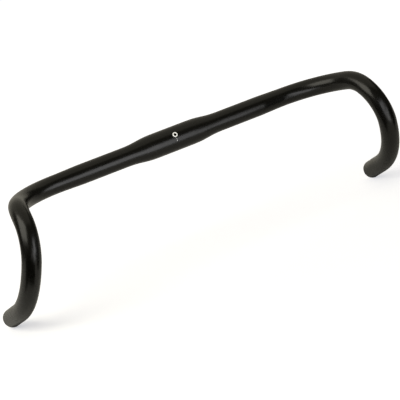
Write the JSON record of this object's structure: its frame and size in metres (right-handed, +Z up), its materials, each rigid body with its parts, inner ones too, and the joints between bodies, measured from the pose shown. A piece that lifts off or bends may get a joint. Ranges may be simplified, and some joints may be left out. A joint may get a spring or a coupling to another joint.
{
  "type": "drop handlebar",
  "caption": "Flared gravel drop handlebar in satin black anodised aluminium, with a short shallow drop and a 31.8 mm stem clamp.",
  "frame": {"origin": "centre of the stem clamp, on the axis of the tube", "axes": "+X along the tops toward the rider's left, -Y forward on the bicycle, +Z up with the ramps level"},
  "size_m": [0.5586, 0.1275, 0.1658],
  "materials": {
    "anodised_tube": "satin black anodised"
  },
  "bodies": {
    "root": {"handlebar": "anodised_tube"}
  },
  "joints": []
}
